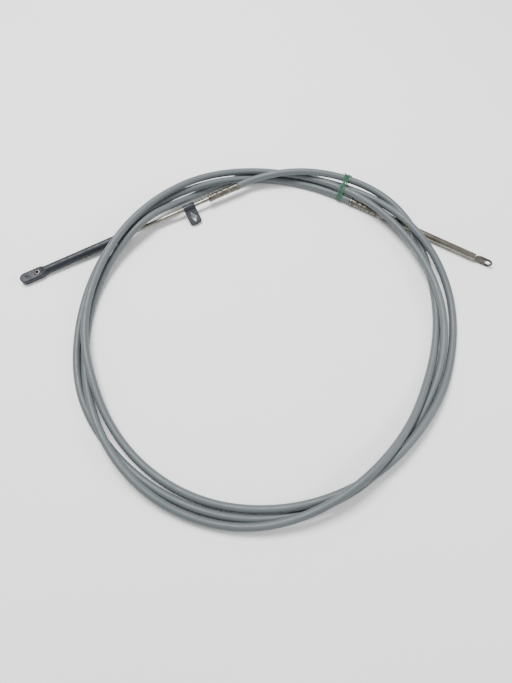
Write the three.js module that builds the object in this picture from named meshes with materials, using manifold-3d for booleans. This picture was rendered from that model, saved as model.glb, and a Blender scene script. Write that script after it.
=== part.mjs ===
// Throttle and shift cable: a coiled push-pull control cable with its two end fittings.
// Millimetres, +Z up. The cable lies on the plane z = 0, with the origin under the middle of its box.
// The engine end points to -X and the control end to +X.

import * as THREE from 'three';
import * as BufferGeometryUtils from 'three/addons/utils/BufferGeometryUtils.js';
import Module from 'manifold-3d';

const wasm = await Module();
wasm.setup();

// Clearances
const FACE_GAP = 0.3; // between faces that meet end to end
const SEAT_GAP = 0.25; // around a piece pressed or screwed into another
const SLIDE_GAP = 0.35; // around a piece that slides or turns

// Conduit
const CONDUIT_RADIUS = 3.95;
const CONDUIT_SIDES = 10;
const CONDUIT_STEP = 16.5; // along the cable, for each ring of faces
const COIL_CENTRE = new THREE.Vector2(11.28, 2.01);

// Lay of the conduit, clockwise seen from above, at even angles from twelve o'clock. Each station gives
// the distance from the coil's centre and how many strands lie under the conduit there.
// layCoil works the turns out from it.
const LAY_START = -11.2;
const LAY_END = 1111.6;
const LAY = [
  [181, 1], [199, 2], [207, 2], [195, 1], [183, 0], [177, 0], [178, 1], [190, 2],
  [206, 1.5], [212, 1], [206, 1], [197, 1], [193, 1.5], [188.5, 1.5], [184, 1], [197, 0],
  [202, 0], [201, 1], [199, 2], [200, 1.5], [190, 1], [186, 1], [190, 1], [194, 1],
  [195, 1], [193.5, 2], [193, 2.5], [194, 2.5], [193.5, 2.5], [194.5, 2], [199.5, 1.2], [198.5, 1.2],
  [194.5, 1.5], [189, 1.5], [185, 1], [182, 0], [183, 0], [190, 0], [198, 0], [204, 0],
  [205, 0.5], [202.5, 1.5], [200, 1.5], [198.5, 1.5], [193, 1], [194, 1], [193, 0], [189, 0],
];
const ENGINE_MOUTH_HEIGHT = 12;
const CONTROL_MOUTH_HEIGHT = 5;

// Settling of the strands on each other, in slices across the coil
const SLICES = 225;
const STRAND_PITCH = 2 * CONDUIT_RADIUS + 0.8; // between the axes of strands that touch
const FITTING_GAP = 1.1; // between a strand and a fitting, wherever that turns or slides
const TABLE_GAP = 0.1; // between the conduit and the table
const SETTLE_ROUNDS = 4000;
const STIFFNESS = 0.5; // share of each bend that a round takes out
const HOLD = 0.012; // share of the way back to its station's distance in a round
const SINK = 0.01; // drop of a strand in a round
const FREE_OF_ENGINE = 12; // slices from its own mouth at which a strand may meet a fitting again
const FREE_OF_CONTROL = 14;

// Engine end, along its own axis from the conduit
const ENGINE_HEADING = -152; // degrees from +X, seen from above
const ENGINE_DROP = 1.65; // degrees below level
const ENGINE_HUB_LENGTH = 38.8;
const ENGINE_TUBE_RADIUS = 2.4;
const ENGINE_TUBE_BORE = 1.6;
const ENGINE_TUBE_END = 160;
const ENGINE_CORE_RADIUS = 1.2;
const ENGINE_CORE_ENGAGED = 55; // of the core, inside the tube at rest
const ENGINE_TRAVEL = 70; // of the end guide, towards the coil
const GUIDE_START = 142;
const GUIDE_RADIUS = 4.9;
const GUIDE_BORE_FLOOR = 5; // between the bore's end and the eye
const PADDLE_WIDTH = 12.2;
const PADDLE_THICKNESS = 7;
const PADDLE_LENGTH = 26;
const PADDLE_BEVEL = 0.9;
const PADDLE_TIP = 271;
const PADDLE_ROLL = 6; // degrees, the flat turned towards the clip's side
const BUSH_FROM_TIP = 20;
const BUSH_RADIUS = 3.05;
const BUSH_BORE = 1.35;
const BUSH_PROUD = 0.35;
const DIMPLE_FROM_TIP = 6.6;
const DIMPLE_HALF = new THREE.Vector2(1.4, 2.1);
const DIMPLE_DEPTH = 0.8;

// Anchor clip on the engine tube
const CLIP_START = 57.7;
const CLIP_WIDTH = 14;
const CLIP_ABOVE = 4; // from the tube's axis to the short end
const CLIP_BELOW = 21.6; // from the tube's axis to the long end
const CLIP_THICKNESS = 3;
const CLIP_BARREL = 4;
const CLIP_BULGE = 1.6; // of the rounded long end
const CLIP_CORNER = 1.6;
const CLIP_DROOP = 22; // degrees below level
const KITE_CENTRE = 12; // from the tube's axis
const KITE_HALF = new THREE.Vector2(4, 6.6);

// Control end, along its own axis from the conduit
const CONTROL_HEADING = -30.5;
const CONTROL_HUB_LENGTH = 35.5;
const NECK_RADIUS = 2.1;
const BALL_RADIUS = 3.2;
const BALL_FROM_HUB = 8.2;
const SOCKET_RADIUS = 4.7;
const SOCKET_MOUTH = 2.95;
const SWIVEL = 6; // degrees, each way
const SOCKET_END = 65.1;
const SOCKET_GRIP = 10; // of the socket over the guide tube
const GUIDE_TUBE_RADIUS = 3.92;
const GUIDE_TUBE_BORE = 2.8;
const GUIDE_TUBE_END = 157.5;
const BLEED_HOLE_RADIUS = 1;
const BLEED_HOLE_FROM_END = 4.5;
const BLEED_HOLE_TURN = 22; // degrees past the top
const ROD_RADIUS = 2.4;
const ROD_INSIDE = 92; // of the rod, inside the guide tube at rest
const EYE_TIP = 177.6;
const EYE_HOLE_RADIUS = 3.1;
const EYE_TIP_RADIUS = 5.3;
const EYE_HALF_WIDTH = 4.65;
const EYE_THICKNESS = 2.8;
const EYE_FLAT_FROM_TUBE = 6;
const EYE_ROLL = 80; // degrees, the flat turned up from level

// Crimped hubs
const HUB_RADIUS = 4.1;
const HUB_COLLAR_RADIUS = 4.4;
const HUB_COLLAR = 3.2;
const HUB_CRIMPS = 3;
const HUB_CRIMP_DEPTH = 0.35;
const HUB_SEAT = 12; // depth of the hub's socket for the tube

// Tie: a string wound twice round the four strands
const TIE_ANGLE = 27.3;
const TIE_STRANDS = 4;
const TWINE = 0.7;
const TIE_PITCH = 3.4;
const TIE_CLEARANCE = 0.3;
const KNOT_RADIUS = 1.9;

const ROUND = 24; // sides of turned pieces
const AXIS_X = new THREE.Vector3(1, 0, 0);
const radians = THREE.MathUtils.degToRad;

const materials = {
  conduit: { color: 0x6f777a, roughness: 0.45, metalness: 0 },
  steel: { color: 0x8d897c, roughness: 0.35, metalness: 1 },
  zinc: { color: 0x77746a, roughness: 0.45, metalness: 1 },
  black: { color: 0x20252c, roughness: 0.55, metalness: 0 },
  twine: { color: 0x2f6b4a, roughness: 0.9, metalness: 0 },
};

function mesh(name, geometry, finish) {
  const part = new THREE.Mesh(geometry, new THREE.MeshStandardMaterial(materials[finish]));
  part.name = name;
  return part;
}

// Joining and cutting
function toSolid(geometry) {
  const bare = geometry.clone();
  bare.deleteAttribute('normal');
  bare.deleteAttribute('uv');
  const merged = BufferGeometryUtils.mergeVertices(bare, 1e-4);
  return new wasm.Manifold(new wasm.Mesh({
    numProp: 3,
    vertProperties: new Float32Array(merged.attributes.position.array),
    triVerts: new Uint32Array(merged.index.array),
  }));
}

function toGeometry(solid) {
  const cut = solid.getMesh();
  const geometry = new THREE.BufferGeometry();
  geometry.setAttribute('position', new THREE.BufferAttribute(new Float32Array(cut.vertProperties), 3));
  geometry.setIndex(new THREE.BufferAttribute(new Uint32Array(cut.triVerts), 1));
  geometry.computeVertexNormals();
  return geometry;
}

// A turned piece on the X axis, from [x, radius] corners that run from small x to large x and back
function turned(corners, sides = ROUND) {
  const profile = corners.map(([x, radius]) => new THREE.Vector2(radius, x));
  profile.push(profile[0].clone());
  return new THREE.LatheGeometry(profile, sides).rotateZ(-Math.PI / 2);
}

function rod(start, end, radius, sides = ROUND) {
  const length = end - start;
  return new THREE.CylinderGeometry(radius, radius, length, sides)
    .rotateZ(-Math.PI / 2).translate(start + length / 2, 0, 0);
}

function plate(shape, thickness, bevel = 0) {
  const options = { depth: thickness - 2 * bevel, bevelEnabled: bevel > 0, bevelThickness: bevel,
    bevelSize: bevel, bevelOffset: -bevel, bevelSegments: 2, curveSegments: 10 };
  return new THREE.ExtrudeGeometry(shape, options).translate(0, 0, bevel - thickness / 2);
}

// Route, as points (distance, height) in slices across the coil
const sliceAngle = radians(LAY_END - LAY_START) / SLICES;
const angleAt = (slice) => radians(LAY_START) + sliceAngle * slice;
const ballCentre = CONTROL_HUB_LENGTH + BALL_FROM_HUB;

function place(slice, point) {
  const angle = angleAt(slice);
  return new THREE.Vector3(
    COIL_CENTRE.x + point.x * Math.sin(angle), COIL_CENTRE.y + point.x * Math.cos(angle), point.y);
}

function axisOf(heading, drop) {
  return AXIS_X.clone().applyEuler(new THREE.Euler(0, radians(drop), radians(heading), 'ZYX'));
}

// Where the axis of a fitting crosses a slice
function crossing(slice, mouth, axis) {
  const [sine, cosine] = [Math.sin(angleAt(slice)), Math.cos(angleAt(slice))];
  const [x, y] = [mouth.x - COIL_CENTRE.x, mouth.y - COIL_CENTRE.y];
  const along = (y * sine - x * cosine) / (axis.x * cosine - axis.y * sine);
  return new THREE.Vector2(Math.hypot(x + along * axis.x, y + along * axis.y), mouth.z + along * axis.z);
}

// A length of a fitting, between two distances from a point on its axis
function rodOn(origin, axis, from, to, radius) {
  const line = new THREE.Line3(
    origin.clone().addScaledVector(axis, from), origin.clone().addScaledVector(axis, to));
  return { line, radius };
}

// The engine end with its guide slid in
function engineRods(mouth) {
  const axis = axisOf(ENGINE_HEADING, ENGINE_DROP);
  const guideIn = GUIDE_START - ENGINE_TRAVEL;
  return [rodOn(mouth, axis, 0, ENGINE_HUB_LENGTH, HUB_COLLAR_RADIUS),
    rodOn(mouth, axis, ENGINE_HUB_LENGTH, guideIn, CLIP_BARREL),
    rodOn(mouth, axis, guideIn, PADDLE_TIP - PADDLE_LENGTH, GUIDE_RADIUS)];
}

// The control end, turned through its swivel
function controlRods(mouth) {
  const axis = axisOf(CONTROL_HEADING, 0);
  const ball = mouth.clone().addScaledVector(axis, ballCentre);
  const turned = [-1, -0.5, 0, 0.5, 1].flatMap((share) => {
    const turnedAxis = axisOf(CONTROL_HEADING + share * SWIVEL, 0);
    return [rodOn(ball, turnedAxis, -BALL_RADIUS, SOCKET_END - ballCentre, SOCKET_RADIUS),
      rodOn(ball, turnedAxis, SOCKET_END - ballCentre, GUIDE_TUBE_END - ballCentre, GUIDE_TUBE_RADIUS)];
  });
  return [rodOn(mouth, axis, 0, CONTROL_HUB_LENGTH, HUB_COLLAR_RADIUS), ...turned];
}

function straighten(strand) {
  const before = strand.map((point) => point.clone());
  for (let k = 2; k < strand.length - 2; k += 1) {
    const straight = before[k - 1].clone().add(before[k + 1]).multiplyScalar(4)
      .sub(before[k - 2]).sub(before[k + 2]).divideScalar(6);
    strand[k].lerp(straight, STIFFNESS);
  }
}

// Pushes the turns apart where they overlap in a slice
function partTurns(strand) {
  const turn = 2 * Math.PI / sliceAngle;
  for (let k = 0; k < strand.length; k += 1) {
    for (let later = k + turn; later < strand.length - 1; later += turn) {
      const j = Math.floor(later);
      const share = later - j;
      const apart = strand[k].clone().sub(strand[j].clone().lerp(strand[j + 1], share));
      const overlap = STRAND_PITCH - apart.length();
      if (overlap > 0) {
        apart.setLength(overlap / 2);
        strand[k].add(apart);
        strand[j].addScaledVector(apart, share - 1);
        strand[j + 1].addScaledVector(apart, -share);
      }
    }
  }
}

// Pushes the slices from first to last away from a fitting
function clearRod(strand, rod, first, last) {
  for (let k = first; k < last; k += 1) {
    const point = place(k, strand[k]);
    const away = point.clone().sub(rod.line.closestPointToPoint(point, true, new THREE.Vector3()));
    const overlap = rod.radius + CONDUIT_RADIUS + FITTING_GAP - away.length();
    if (overlap > 0) {
      away.setLength(overlap);
      strand[k].x += away.x * Math.sin(angleAt(k)) + away.y * Math.cos(angleAt(k));
      strand[k].y += away.z;
    }
  }
}

function layCoil() {
  const stations = LAY.map(([distance, strandsBelow]) =>
    new THREE.Vector2(distance, CONDUIT_RADIUS + TABLE_GAP + strandsBelow * STRAND_PITCH));
  const strand = new THREE.SplineCurve(stations).getPoints(SLICES);
  strand[0].y = ENGINE_MOUTH_HEIGHT;
  strand[SLICES].y = CONTROL_MOUTH_HEIGHT;
  const laid = strand.map((point) => point.clone());
  const [engineMouth, controlMouth] = [place(0, strand[0]), place(SLICES, strand[SLICES])];
  laid[1] = crossing(1, engineMouth, axisOf(ENGINE_HEADING, ENGINE_DROP));
  laid[SLICES - 1] = crossing(SLICES - 1, controlMouth, axisOf(CONTROL_HEADING, 0));
  const [byEngine, byControl] = [engineRods(engineMouth), controlRods(controlMouth)];
  for (let round = 0; round < SETTLE_ROUNDS; round += 1) {
    straighten(strand);
    strand.forEach((point, k) => {
      point.x += HOLD * (laid[k].x - point.x);
      point.y -= SINK;
    });
    partTurns(strand);
    byEngine.forEach((rod) => clearRod(strand, rod, FREE_OF_ENGINE, SLICES));
    byControl.forEach((rod) => clearRod(strand, rod, 0, SLICES - FREE_OF_CONTROL));
    strand.forEach((point) => { point.y = Math.max(point.y, CONDUIT_RADIUS + TABLE_GAP); });
    [0, 1, SLICES - 1, SLICES].forEach((k) => strand[k].copy(laid[k]));
  }
  return strand.map((point, k) => place(k, point));
}

const laidPoints = layCoil();
const route = new THREE.CatmullRomCurve3(laidPoints);
route.arcLengthDivisions = 12 * SLICES;

function makeConduit() {
  const section = new THREE.Shape();
  for (let side = 0; side < CONDUIT_SIDES; side += 1) {
    const angle = 2 * Math.PI * side / CONDUIT_SIDES;
    const point = [CONDUIT_RADIUS * Math.cos(angle), CONDUIT_RADIUS * Math.sin(angle)];
    if (side === 0) section.moveTo(...point);
    else section.lineTo(...point);
  }
  const steps = Math.round(route.getLength() / CONDUIT_STEP);
  return mesh('conduit', new THREE.ExtrudeGeometry(section, { steps, extrudePath: route }), 'conduit');
}

// Fittings
function hubOutline(start, length) {
  const end = start + length;
  const outline = [
    [start, HUB_COLLAR_RADIUS - 0.5], [start + 0.5, HUB_COLLAR_RADIUS],
    [start + HUB_COLLAR - 0.5, HUB_COLLAR_RADIUS], [start + HUB_COLLAR, HUB_RADIUS],
  ];
  const pitch = (length - 2 * HUB_COLLAR) / (HUB_CRIMPS + 1);
  for (let crimp = 1; crimp <= HUB_CRIMPS; crimp += 1) {
    const middle = start + HUB_COLLAR + pitch * crimp;
    outline.push([middle - pitch / 4, HUB_RADIUS], [middle, HUB_RADIUS - HUB_CRIMP_DEPTH],
      [middle + pitch / 4, HUB_RADIUS]);
  }
  outline.push([end - HUB_COLLAR, HUB_RADIUS], [end - HUB_COLLAR + 0.5, HUB_COLLAR_RADIUS],
    [end - 0.5, HUB_COLLAR_RADIUS], [end, HUB_COLLAR_RADIUS - 0.5]);
  return outline;
}

function makeEngineHub() {
  const bore = ENGINE_TUBE_RADIUS + SEAT_GAP;
  const corners = [[FACE_GAP, 0], ...hubOutline(FACE_GAP, ENGINE_HUB_LENGTH - FACE_GAP),
    [ENGINE_HUB_LENGTH, bore], [ENGINE_HUB_LENGTH - HUB_SEAT, bore], [ENGINE_HUB_LENGTH - HUB_SEAT, 0]];
  return mesh('engine_hub', turned(corners), 'zinc');
}

function makeEngineTube() {
  const start = ENGINE_HUB_LENGTH - HUB_SEAT + FACE_GAP;
  const corners = [[start, ENGINE_TUBE_BORE], [start, ENGINE_TUBE_RADIUS],
    [ENGINE_TUBE_END, ENGINE_TUBE_RADIUS], [ENGINE_TUBE_END, ENGINE_TUBE_BORE]];
  return mesh('engine_tube', turned(corners), 'steel');
}

const guideBoreEnd = PADDLE_TIP - BUSH_FROM_TIP - BUSH_RADIUS - GUIDE_BORE_FLOOR;

function makeEngineCore() {
  const start = ENGINE_TUBE_END - ENGINE_CORE_ENGAGED;
  return mesh('engine_core', rod(start, guideBoreEnd - FACE_GAP, ENGINE_CORE_RADIUS, 12), 'steel');
}

function paddleShape() {
  const half = PADDLE_WIDTH / 2;
  const shape = new THREE.Shape();
  const shoulder = PADDLE_TIP - PADDLE_LENGTH;
  shape.moveTo(shoulder - 3, -GUIDE_RADIUS + PADDLE_BEVEL);
  shape.lineTo(shoulder, -half);
  shape.lineTo(PADDLE_TIP - half, -half);
  shape.absarc(PADDLE_TIP - half, 0, half, -Math.PI / 2, Math.PI / 2, false);
  shape.lineTo(shoulder, half);
  shape.lineTo(shoulder - 3, GUIDE_RADIUS - PADDLE_BEVEL);
  shape.closePath();
  return shape;
}

function makeEndGuide() {
  const stem = toSolid(turned([[GUIDE_START, 0], [GUIDE_START, GUIDE_RADIUS - 0.6],
    [GUIDE_START + 0.6, GUIDE_RADIUS], [PADDLE_TIP - PADDLE_LENGTH, GUIDE_RADIUS],
    [PADDLE_TIP - PADDLE_LENGTH + 4, PADDLE_THICKNESS / 2 - 0.2],
    [PADDLE_TIP - PADDLE_LENGTH + 4, 0]], 28));
  const paddle = toSolid(plate(paddleShape(), PADDLE_THICKNESS, PADDLE_BEVEL));
  const bore = toSolid(rod(GUIDE_START - 1, guideBoreEnd, ENGINE_TUBE_RADIUS + SLIDE_GAP));
  const eye = toSolid(new THREE.CylinderGeometry(BUSH_RADIUS + SEAT_GAP, BUSH_RADIUS + SEAT_GAP,
    2 * PADDLE_THICKNESS, ROUND).rotateX(Math.PI / 2).translate(PADDLE_TIP - BUSH_FROM_TIP, 0, 0));
  const dimple = toSolid(new THREE.CylinderGeometry(1, 1, 2 * DIMPLE_DEPTH, 16).rotateX(Math.PI / 2)
    .scale(DIMPLE_HALF.x, DIMPLE_HALF.y, 1)
    .translate(PADDLE_TIP - DIMPLE_FROM_TIP, 0, PADDLE_THICKNESS / 2));
  const solid = stem.add(paddle).subtract(bore).subtract(eye).subtract(dimple);
  const guide = mesh('end_guide', toGeometry(solid), 'black');
  guide.rotation.x = -radians(PADDLE_ROLL);
  return guide;
}

function makeGuideBush() {
  const half = PADDLE_THICKNESS / 2 + BUSH_PROUD;
  const corners = [[-half, BUSH_BORE], [-half, BUSH_RADIUS - 0.2], [-half + 0.2, BUSH_RADIUS],
    [half - 0.2, BUSH_RADIUS], [half, BUSH_RADIUS - 0.2], [half, BUSH_BORE]];
  const geometry = turned(corners).rotateY(-Math.PI / 2).translate(PADDLE_TIP - BUSH_FROM_TIP, 0, 0);
  const bush = mesh('guide_bush', geometry, 'zinc');
  bush.rotation.x = -radians(PADDLE_ROLL);
  return bush;
}

function clipShape() {
  const [near, far] = [-CLIP_ABOVE, CLIP_BELOW - CLIP_BULGE];
  const [left, right, c] = [-CLIP_WIDTH / 2, CLIP_WIDTH / 2, CLIP_CORNER];
  const shape = new THREE.Shape();
  shape.moveTo(left + c, near);
  shape.lineTo(right - c, near);
  shape.quadraticCurveTo(right, near, right, near + c);
  shape.lineTo(right, far - c);
  shape.quadraticCurveTo(right, far, right - c, far + c / 3);
  shape.quadraticCurveTo(0, CLIP_BELOW + CLIP_BULGE - c / 3, left + c, far + c / 3);
  shape.quadraticCurveTo(left, far, left, far - c);
  shape.lineTo(left, near + c);
  shape.quadraticCurveTo(left, near, left + c, near);
  const kite = new THREE.Path();
  kite.moveTo(0, KITE_CENTRE - KITE_HALF.y);
  kite.lineTo(-KITE_HALF.x, KITE_CENTRE);
  kite.lineTo(0, KITE_CENTRE + KITE_HALF.y);
  kite.lineTo(KITE_HALF.x, KITE_CENTRE);
  kite.closePath();
  shape.holes.push(kite);
  return shape;
}

function makeAnchorClip() {
  const leaf = toSolid(plate(clipShape(), CLIP_THICKNESS));
  const barrel = toSolid(rod(-CLIP_WIDTH / 2, CLIP_WIDTH / 2, CLIP_BARREL));
  const bore = toSolid(rod(-CLIP_WIDTH, CLIP_WIDTH, ENGINE_TUBE_RADIUS + SLIDE_GAP));
  const clip = mesh('anchor_clip', toGeometry(leaf.add(barrel).subtract(bore)), 'black');
  clip.position.x = CLIP_START + CLIP_WIDTH / 2;
  clip.rotation.x = -radians(CLIP_DROOP);
  return clip;
}

// Points on a sphere about the ball's centre, as [x, radius] corners between two angles from the axis
function sphereCorners(radius, from, to, count) {
  return Array.from({ length: count + 1 }, (_, k) => {
    const angle = from + (to - from) * k / count;
    return [ballCentre - radius * Math.cos(angle), radius * Math.sin(angle)];
  });
}

function makeControlHub() {
  const neck = Math.asin(NECK_RADIUS / BALL_RADIUS);
  const corners = [[FACE_GAP, 0], ...hubOutline(FACE_GAP, CONTROL_HUB_LENGTH - FACE_GAP),
    [CONTROL_HUB_LENGTH, NECK_RADIUS], ...sphereCorners(BALL_RADIUS, neck, Math.PI, 10)];
  corners[corners.length - 1][1] = 0;
  return mesh('control_hub', turned(corners), 'zinc');
}

function makeSwivelSocket() {
  const cavity = BALL_RADIUS + SLIDE_GAP;
  const mouth = Math.asin(SOCKET_MOUTH / cavity);
  const bore = GUIDE_TUBE_RADIUS + SEAT_GAP;
  const front = ballCentre - cavity * Math.cos(mouth) - 0.2;
  const corners = [[front, SOCKET_MOUTH], [front, SOCKET_RADIUS - 1.2], [front + 1.2, SOCKET_RADIUS],
    [SOCKET_END - 0.8, SOCKET_RADIUS], [SOCKET_END, bore + 0.1], [SOCKET_END, bore],
    [SOCKET_END - SOCKET_GRIP, bore], [SOCKET_END - SOCKET_GRIP, GUIDE_TUBE_BORE],
    [ballCentre + cavity, GUIDE_TUBE_BORE],
    ...sphereCorners(cavity, Math.PI - Math.asin(GUIDE_TUBE_BORE / cavity), mouth, 8).slice(0, -1)];
  return mesh('swivel_socket', turned(corners), 'zinc');
}

function makeGuideTube() {
  const start = SOCKET_END - SOCKET_GRIP + FACE_GAP;
  const tube = toSolid(turned([[start, GUIDE_TUBE_BORE], [start, GUIDE_TUBE_RADIUS],
    [GUIDE_TUBE_END - 0.5, GUIDE_TUBE_RADIUS], [GUIDE_TUBE_END, GUIDE_TUBE_RADIUS - 0.5],
    [GUIDE_TUBE_END, GUIDE_TUBE_BORE]], 32));
  const hole = toSolid(new THREE.CylinderGeometry(BLEED_HOLE_RADIUS, BLEED_HOLE_RADIUS,
    2 * GUIDE_TUBE_RADIUS, 12).rotateX(Math.PI / 2 - radians(BLEED_HOLE_TURN))
    .translate(GUIDE_TUBE_END - BLEED_HOLE_FROM_END, GUIDE_TUBE_RADIUS * Math.sin(radians(BLEED_HOLE_TURN)),
      GUIDE_TUBE_RADIUS * Math.cos(radians(BLEED_HOLE_TURN))));
  return mesh('guide_tube', toGeometry(tube.subtract(hole)), 'steel');
}

function makeControlRod() {
  const eye = EYE_TIP - EYE_TIP_RADIUS;
  const flat = GUIDE_TUBE_END + EYE_FLAT_FROM_TUBE;
  const blank = toSolid(turned([[GUIDE_TUBE_END - ROD_INSIDE, 0], [GUIDE_TUBE_END - ROD_INSIDE, ROD_RADIUS],
    [GUIDE_TUBE_END + 0.6, ROD_RADIUS], [flat, EYE_HALF_WIDTH], [eye, EYE_HALF_WIDTH],
    ...Array.from({ length: 9 }, (_, k) => {
      const angle = Math.PI / 2 * (k + 1) / 9;
      return [eye + EYE_TIP_RADIUS * Math.sin(angle), EYE_HALF_WIDTH * Math.cos(angle)];
    })], 28));
  const half = EYE_THICKNESS / 2;
  const side = new THREE.Shape([[GUIDE_TUBE_END - ROD_INSIDE - 1, -6], [GUIDE_TUBE_END + 1, -6],
    [GUIDE_TUBE_END + 1, -ROD_RADIUS], [flat, -half], [EYE_TIP + 1, -half], [EYE_TIP + 1, half],
    [flat, half], [GUIDE_TUBE_END + 1, ROD_RADIUS], [GUIDE_TUBE_END + 1, 6],
    [GUIDE_TUBE_END - ROD_INSIDE - 1, 6]].map(([x, y]) => new THREE.Vector2(x, y)));
  const press = toSolid(plate(side, 4 * EYE_HALF_WIDTH).rotateX(Math.PI / 2));
  const hole = toSolid(new THREE.CylinderGeometry(EYE_HOLE_RADIUS, EYE_HOLE_RADIUS, 4 * EYE_THICKNESS,
    ROUND).rotateX(Math.PI / 2).translate(eye, 0, 0));
  const part = mesh('control_rod', toGeometry(blank.intersect(press).subtract(hole)), 'zinc');
  part.rotation.x = radians(EYE_ROLL);
  return part;
}

// Tie
function convexHull(points) {
  const sorted = [...points].sort((a, b) => a.x - b.x || a.y - b.y);
  const chain = (list) => list.reduce((hull, p) => {
    while (hull.length > 1 && p.clone().sub(hull[hull.length - 2])
      .cross(hull[hull.length - 1].clone().sub(hull[hull.length - 2])) >= 0) hull.pop();
    hull.push(p);
    return hull;
  }, []);
  return [...chain(sorted).slice(0, -1), ...chain(sorted.reverse()).slice(0, -1)];
}

// Outline of a string drawn tight round the strands, in the plane across them
function tieOutline(strands, radius) {
  const rim = strands.flatMap((centre) => Array.from({ length: 16 }, (_, k) => {
    const angle = Math.PI * k / 8;
    return new THREE.Vector2(centre.x + radius * Math.cos(angle), centre.y + radius * Math.sin(angle));
  }));
  return convexHull(rim);
}

function makeTie() {
  const angle = radians(TIE_ANGLE);
  const outward = new THREE.Vector3(Math.sin(angle), Math.cos(angle), 0);
  const strands = Array.from({ length: TIE_STRANDS }, (_, turn) => {
    const slice = radians(TIE_ANGLE + 360 * turn - LAY_START) / sliceAngle;
    const point = route.getPoint(slice / SLICES);
    const height = point.z;
    const outwards = point.sub(new THREE.Vector3(COIL_CENTRE.x, COIL_CENTRE.y, 0)).dot(outward);
    return new THREE.Vector2(outwards, height);
  });
  const inner = CONDUIT_RADIUS + TIE_CLEARANCE;
  const shape = new THREE.Shape(tieOutline(strands, inner + TWINE));
  shape.holes.push(new THREE.Path(tieOutline(strands, inner)));
  const loop = plate(shape, TWINE);
  const top = strands.reduce((highest, strand) => (strand.y > highest.y ? strand : highest));
  const knot = new THREE.SphereGeometry(KNOT_RADIUS, 12, 8)
    .translate(top.x, top.y + inner + KNOT_RADIUS, 0);
  const solid = toSolid(loop.clone().translate(0, 0, TIE_PITCH / 2))
    .add(toSolid(loop.translate(0, 0, -TIE_PITCH / 2))).add(toSolid(knot));
  const tie = mesh('tie', toGeometry(solid), 'twine');
  tie.rotation.set(Math.PI / 2, 0, Math.PI / 2 - angle, 'ZYX');
  tie.position.set(COIL_CENTRE.x, COIL_CENTRE.y, 0);
  return tie;
}

// Each end is modelled along +X from where the conduit stops, then turned into place
function fitting(mouth, heading, drop, parts) {
  const end = new THREE.Group();
  end.position.copy(mouth);
  end.rotation.set(0, radians(drop), radians(heading), 'ZYX');
  end.add(...parts);
  return end;
}

const engineEnd = fitting(laidPoints[0], ENGINE_HEADING, ENGINE_DROP,
  [makeEngineHub(), makeEngineTube(), makeEngineCore(), makeEndGuide(), makeGuideBush(), makeAnchorClip()]);
const controlEnd = fitting(laidPoints[SLICES], CONTROL_HEADING, 0,
  [makeControlHub(), makeSwivelSocket(), makeGuideTube(), makeControlRod()]);

const cable = new THREE.Group();
cable.name = 'throttle_and_shift_cable';
cable.add(makeConduit(), makeTie(), engineEnd, controlEnd);

export default cable;
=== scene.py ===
"""Looks of the throttle and shift cable: a coiled push-pull control cable, lying on a pale floor.

Sizes are in millimetres, as on the part, and are turned into metres where a mesh is made.
Each end of the cable is modelled along its own X axis, from the point where the conduit stops.
"""

import math

import bmesh
import bpy
from mathutils import Euler, Matrix, Vector


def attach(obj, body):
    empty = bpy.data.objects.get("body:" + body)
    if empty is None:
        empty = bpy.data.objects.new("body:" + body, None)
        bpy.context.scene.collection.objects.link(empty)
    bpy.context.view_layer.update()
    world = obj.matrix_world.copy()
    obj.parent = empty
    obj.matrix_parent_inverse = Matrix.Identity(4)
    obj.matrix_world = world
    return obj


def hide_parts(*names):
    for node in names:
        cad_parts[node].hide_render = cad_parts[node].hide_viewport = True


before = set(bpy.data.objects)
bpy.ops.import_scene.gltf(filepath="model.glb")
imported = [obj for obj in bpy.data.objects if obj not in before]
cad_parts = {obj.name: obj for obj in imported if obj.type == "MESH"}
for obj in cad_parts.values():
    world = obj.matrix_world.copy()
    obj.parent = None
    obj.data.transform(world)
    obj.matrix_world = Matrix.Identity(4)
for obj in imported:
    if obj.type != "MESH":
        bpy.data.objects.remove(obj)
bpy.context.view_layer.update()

MM = 0.001

# The photograph's camera: a pinhole that looks at the floor from the coil's lower side
PHOTO_WIDTH = 512
FOCAL_PIXELS = 513
SENSOR_WIDTH = 36
CAMERA_PLACE = (-2.2, -243.3, 495.7)
CAMERA_TILT = 24.3  # degrees from straight down

# Conduit
CONDUIT_RADIUS = 3.95
CONDUIT_SIDES = 28
STEPS_PER_RING = 4  # of the jacket's mesh, between two rings of the CAD conduit
RING_WELD = 0.01  # corners of the CAD conduit closer than this are one
RING_REACH = 1.05 * CONDUIT_RADIUS  # from a mouth to the corners of its ring, at most
COIL_CENTRE = (11.28, 2.01)
ENGINE_MOUTH = (-23.88, 179.56, 12.0)
CONTROL_MOUTH = (110.31, 162.99, 5.0)

# Engine end
ENGINE_HEADING = -152
ENGINE_DROP = 1.65
ENGINE_HUB_LENGTH = 38.8
ENGINE_TUBE_RADIUS = 2.4
ENGINE_TUBE_BORE = 1.6
ENGINE_TUBE_END = 160
ENGINE_ROD_RADIUS = 1.2
ENGINE_ROD_START = 105
GUIDE_START = 142
GUIDE_RADIUS = 4.9
GUIDE_BORE = 2.75
GUIDE_BORE_END = 242.95
GUIDE_STRAIGHT = (170, 200, 225, 238)  # stations along the round stretch
PADDLE_SHOULDER = 245
PADDLE_TAPER = (-3.5, 3.0)  # from and to, about the shoulder
PADDLE_POWER = 7  # how square its section is
PADDLE_HALF_WIDTH = 6.1
PADDLE_HALF_THICKNESS = 3.5
PADDLE_TIP = 271
PADDLE_ROLL = 6
BUSH_PLACE = 251
BUSH_RADIUS = 3.05
BUSH_BORE = 1.35
BUSH_PROUD = 0.35
DIMPLE_PLACE = 264.4
DIMPLE_HALF = (1.4, 2.1)
DIMPLE_DEPTH = 0.8

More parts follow.
